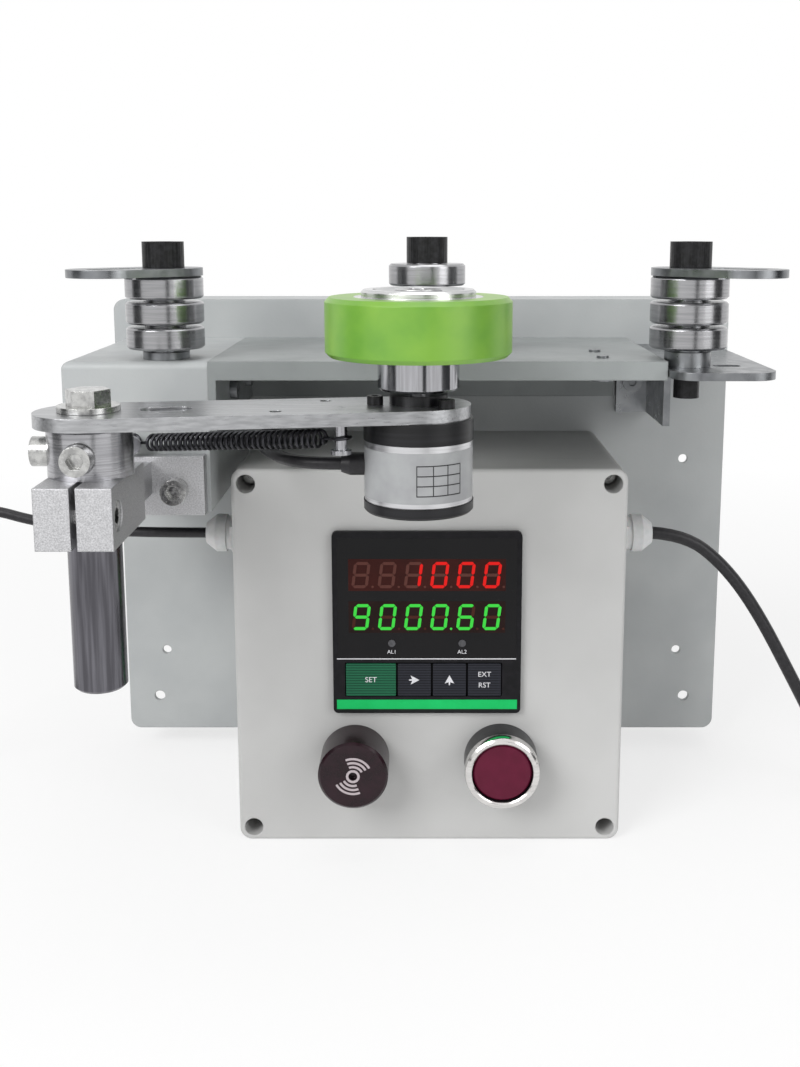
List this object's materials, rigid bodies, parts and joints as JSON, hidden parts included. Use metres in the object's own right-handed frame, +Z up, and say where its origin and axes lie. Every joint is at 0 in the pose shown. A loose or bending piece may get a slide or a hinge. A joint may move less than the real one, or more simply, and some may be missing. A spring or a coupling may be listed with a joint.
{
  "type": "cable length counter",
  "caption": "Bench or panel mounted wire and cable length counter: a sprung measuring wheel against guide bearings, with a preset counter, buzzer and push button in a box below.",
  "frame": {"origin": "middle of the control box's underside, the face it stands on", "axes": "+X to the operator's right along the cable, +Y to the back towards the mounting panel, +Z up"},
  "size_m": [0.6514, 0.2134, 0.2487],
  "materials": {
    "painted_panel": "pale grey painted sheet steel",
    "plated_plate": "zinc-plated steel plate",
    "bearing_steel": "ground bearing steel",
    "black_screw": "black oxide steel",
    "bright_screw": "bright zinc-plated steel",
    "arm_aluminium": "brushed aluminium",
    "clamp_aluminium": "blasted cast aluminium",
    "chrome_rod": "hard-chromed rod",
    "bronze": "sintered bronze",
    "spring_steel": "dark spring steel",
    "green_tyre": "green polyurethane",
    "encoder_black": "black anodised aluminium",
    "encoder_silver": "silver sleeve",
    "box_grey": "light grey moulded ABS",
    "meter_black": "black moulded plastic",
    "meter_window": "dark display window",
    "key_green": "green membrane key",
    "key_grey": "dark grey membrane key",
    "buzzer_red": "dark red moulded plastic",
    "bezel_chrome": "plated ring",
    "cap_red": "crimson push cap",
    "gland_white": "white nylon",
    "cord_black": "black PVC sheath",
    "plug_black": "black moulded plastic"
  },
  "bodies": {
    "frame": {"back_panel": "painted_panel", "guide_shelf": "painted_panel", "left_pedestal": "painted_panel", "right_base_plate": "plated_plate", "guide_wing_plates": "plated_plate", "guide_spacers": "plated_plate", "frame_screws": "plated_plate", "guide_inner_rings": "bearing_steel", "guide_balls": "bearing_steel", "guide_screws": "black_screw", "m6_socket_screws": "bright_screw", "lid_screws": "bright_screw", "pivot_bolt": "bright_screw", "pivot_washer": "bright_screw", "rod_clamp": "clamp_aluminium", "pivot_hub": "clamp_aluminium", "pivot_rod": "chrome_rod", "fixed_spring_post": "chrome_rod", "arm_spring": "spring_steel", "box_base": "box_grey", "box_lid": "box_grey", "meter_case": "meter_black", "meter_window": "meter_window", "buzzer": "buzzer_red", "button_bezel": "bezel_chrome", "cable_glands": "gland_white", "encoder_lead": "cord_black", "power_lead": "cord_black", "power_lead_coil": "cord_black", "output_lead": "cord_black", "output_lead_coil": "cord_black", "panel_grommet": "cord_black", "power_plug": "plug_black", "output_connector": "plug_black"},
    "swing_arm_unit": {"swing_arm": "arm_aluminium", "pivot_bush": "bronze", "arm_spring_post": "chrome_rod", "encoder_flange": "encoder_black", "encoder_body": "encoder_silver", "encoder_cap": "encoder_black", "encoder_screws": "black_screw", "encoder_gland": "cord_black"},
    "wheel_unit": {"wheel_tyre": "green_tyre", "wheel_hub": "arm_aluminium", "wheel_collar": "chrome_rod", "encoder_shaft": "chrome_rod"},
    "left_roller_low_ring": {"left_roller_low": "bearing_steel"},
    "left_roller_mid_ring": {"left_roller_mid": "bearing_steel"},
    "left_roller_top_ring": {"left_roller_top": "bearing_steel"},
    "middle_roller_low_ring": {"middle_roller_low": "bearing_steel"},
    "middle_roller_mid_ring": {"middle_roller_mid": "bearing_steel"},
    "middle_roller_top_ring": {"middle_roller_top": "bearing_steel"},
    "right_roller_low_ring": {"right_roller_low": "bearing_steel"},
    "right_roller_mid_ring": {"right_roller_mid": "bearing_steel"},
    "right_roller_top_ring": {"right_roller_top": "bearing_steel"},
    "key_set_cap": {"key_set": "key_green"},
    "key_shift_cap": {"key_shift": "key_grey"},
    "key_up_cap": {"key_up": "key_grey"},
    "key_reset_cap": {"key_reset": "key_grey"},
    "start_button": {"button_cap": "cap_red"}
  },
  "joints": [
    {"name": "arm_swing", "type": "hinge", "parent": "frame", "child": "swing_arm_unit", "pos_m": [-0.1125, -0.12, 0.1907], "axis": [0, 0, 1], "range_deg": [-25, 10], "stiffness_Nm_per_rad": 2, "deforming": ["arm_spring", "encoder_lead"]},
    {"name": "wheel_spin", "type": "hinge", "parent": "swing_arm_unit", "child": "wheel_unit", "pos_m": [-0.004, -0.10301, 0.2195], "axis": [0, 0, 1], "continuous": true},
    {"name": "left_roller_low_spin", "type": "hinge", "parent": "frame", "child": "left_roller_low_ring", "pos_m": [-0.103, -0.042, 0.2102], "axis": [0, 0, 1], "continuous": true},
    {"name": "left_roller_mid_spin", "type": "hinge", "parent": "frame", "child": "left_roller_mid_ring", "pos_m": [-0.103, -0.042, 0.21985], "axis": [0, 0, 1], "continuous": true},
    {"name": "left_roller_top_spin", "type": "hinge", "parent": "frame", "child": "left_roller_top_ring", "pos_m": [-0.103, -0.042, 0.2295], "axis": [0, 0, 1], "continuous": true},
    {"name": "middle_roller_low_spin", "type": "hinge", "parent": "frame", "child": "middle_roller_low_ring", "pos_m": [-0.001, -0.036, 0.2102], "axis": [0, 0, 1], "continuous": true},
    {"name": "middle_roller_mid_spin", "type": "hinge", "parent": "frame", "child": "middle_roller_mid_ring", "pos_m": [-0.001, -0.036, 0.2222], "axis": [0, 0, 1], "continuous": true},
    {"name": "middle_roller_top_spin", "type": "hinge", "parent": "frame", "child": "middle_roller_top_ring", "pos_m": [-0.001, -0.036, 0.2342], "axis": [0, 0, 1], "continuous": true},
    {"name": "right_roller_low_spin", "type": "hinge", "parent": "frame", "child": "right_roller_low_ring", "pos_m": [0.101, -0.042, 0.2102], "axis": [0, 0, 1], "continuous": true},
    {"name": "right_roller_mid_spin", "type": "hinge", "parent": "frame", "child": "right_roller_mid_ring", "pos_m": [0.101, -0.042, 0.21985], "axis": [0, 0, 1], "continuous": true},
    {"name": "right_roller_top_spin", "type": "hinge", "parent": "frame", "child": "right_roller_top_ring", "pos_m": [0.101, -0.042, 0.2295], "axis": [0, 0, 1], "continuous": true},
    {"name": "key_set_press", "type": "slide", "parent": "frame", "child": "key_set_cap", "axis": [0, 1, 0], "range_m": [0, 0.0004], "stiffness_N_per_m": 2500},
    {"name": "key_shift_press", "type": "slide", "parent": "frame", "child": "key_shift_cap", "axis": [0, 1, 0], "range_m": [0, 0.0004], "stiffness_N_per_m": 2500},
    {"name": "key_up_press", "type": "slide", "parent": "frame", "child": "key_up_cap", "axis": [0, 1, 0], "range_m": [0, 0.0004], "stiffness_N_per_m": 2500},
    {"name": "key_reset_press", "type": "slide", "parent": "frame", "child": "key_reset_cap", "axis": [0, 1, 0], "range_m": [0, 0.0004], "stiffness_N_per_m": 2500},
    {"name": "button_press", "type": "slide", "parent": "frame", "child": "start_button", "axis": [0, 1, 0], "range_m": [0, 0.0035], "stiffness_N_per_m": 600}
  ]
}
